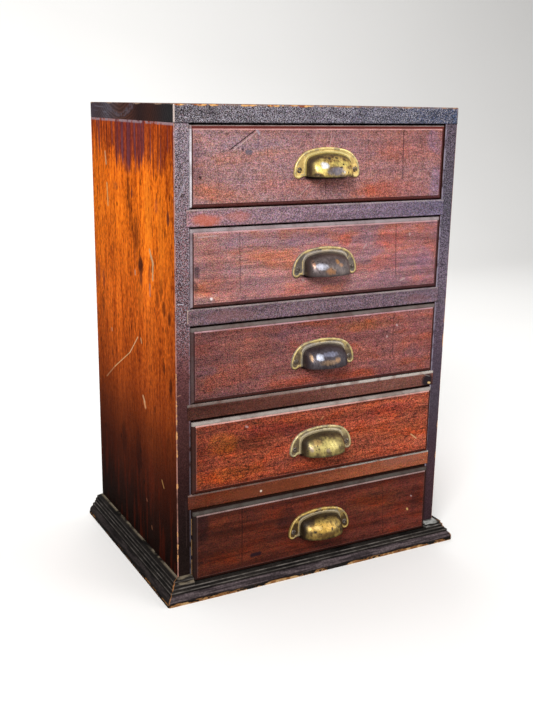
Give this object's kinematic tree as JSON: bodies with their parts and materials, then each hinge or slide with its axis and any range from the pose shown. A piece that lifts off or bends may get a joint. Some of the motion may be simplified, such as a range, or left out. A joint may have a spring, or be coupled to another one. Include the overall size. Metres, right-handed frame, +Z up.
{
  "type": "table-top drawer cabinet",
  "caption": "Table-top wooden cabinet with a stack of equal drawers, brass cup pulls, dovetailed drawer boxes and a mitred moulded plinth.",
  "frame": {"origin": "on the floor, under the middle of the carcase (the underside of the bottom board)", "axes": "+X to the right seen from the front, +Y to the back (drawers open towards -Y), +Z up"},
  "size_m": [0.41, 0.306, 0.5625],
  "materials": {
    "dark_stained_wood": "dark red-brown stain under old crazed varnish, worn to bare wood on the arrises",
    "red_stained_wood": "red-brown stained drawer fronts under old crazed varnish",
    "ebonised_wood": "black paint over wood, worn on the lower edge",
    "plain_softwood": "unfinished old pine, yellowed and dusty",
    "aged_brass": "cast brass, unpolished, tarnished in the hollows",
    "dark_steel": "the pulls' slotted steel screws and the back's nails, darkened; pieces that the render adds"
  },
  "bodies": {
    "carcase": {"top_board": "dark_stained_wood", "left_side": "dark_stained_wood", "right_side": "dark_stained_wood", "bottom_board": "plain_softwood", "back_board_upper": "plain_softwood", "back_board_middle": "plain_softwood", "back_board_lower": "plain_softwood", "drawer_rail_1": "dark_stained_wood", "left_runner_1": "plain_softwood", "right_runner_1": "plain_softwood", "drawer_rail_2": "dark_stained_wood", "left_runner_2": "plain_softwood", "right_runner_2": "plain_softwood", "drawer_rail_3": "dark_stained_wood", "left_runner_3": "plain_softwood", "right_runner_3": "plain_softwood", "drawer_rail_4": "dark_stained_wood", "left_runner_4": "plain_softwood", "right_runner_4": "plain_softwood", "drawer_stops": "plain_softwood", "plinth_front": "ebonised_wood", "plinth_left": "ebonised_wood", "plinth_right": "ebonised_wood"},
    "drawer_1": {"drawer_1_front": "red_stained_wood", "drawer_1_left_side": "plain_softwood", "drawer_1_right_side": "plain_softwood", "drawer_1_back": "plain_softwood", "drawer_1_bottom": "plain_softwood", "drawer_1_pull": "aged_brass"},
    "drawer_2": {"drawer_2_front": "red_stained_wood", "drawer_2_left_side": "plain_softwood", "drawer_2_right_side": "plain_softwood", "drawer_2_back": "plain_softwood", "drawer_2_bottom": "plain_softwood", "drawer_2_pull": "aged_brass"},
    "drawer_3": {"drawer_3_front": "red_stained_wood", "drawer_3_left_side": "plain_softwood", "drawer_3_right_side": "plain_softwood", "drawer_3_back": "plain_softwood", "drawer_3_bottom": "plain_softwood", "drawer_3_pull": "aged_brass"},
    "drawer_4": {"drawer_4_front": "red_stained_wood", "drawer_4_left_side": "plain_softwood", "drawer_4_right_side": "plain_softwood", "drawer_4_back": "plain_softwood", "drawer_4_bottom": "plain_softwood", "drawer_4_pull": "aged_brass"},
    "drawer_5": {"drawer_5_front": "red_stained_wood", "drawer_5_left_side": "plain_softwood", "drawer_5_right_side": "plain_softwood", "drawer_5_back": "plain_softwood", "drawer_5_bottom": "plain_softwood", "drawer_5_pull": "aged_brass"}
  },
  "joints": [
    {"name": "drawer_1_slide", "type": "slide", "parent": "carcase", "child": "drawer_1", "axis": [0, -1, 0], "range_m": [-0.001, 0.2]},
    {"name": "drawer_2_slide", "type": "slide", "parent": "carcase", "child": "drawer_2", "axis": [0, -1, 0], "range_m": [-0.002, 0.2]},
    {"name": "drawer_3_slide", "type": "slide", "parent": "carcase", "child": "drawer_3", "axis": [0, -1, 0], "range_m": [-0.004, 0.2]},
    {"name": "drawer_4_slide", "type": "slide", "parent": "carcase", "child": "drawer_4", "axis": [0, -1, 0], "range_m": [-0.006, 0.2]},
    {"name": "drawer_5_slide", "type": "slide", "parent": "carcase", "child": "drawer_5", "axis": [0, -1, 0], "range_m": [-0.008, 0.2]}
  ]
}
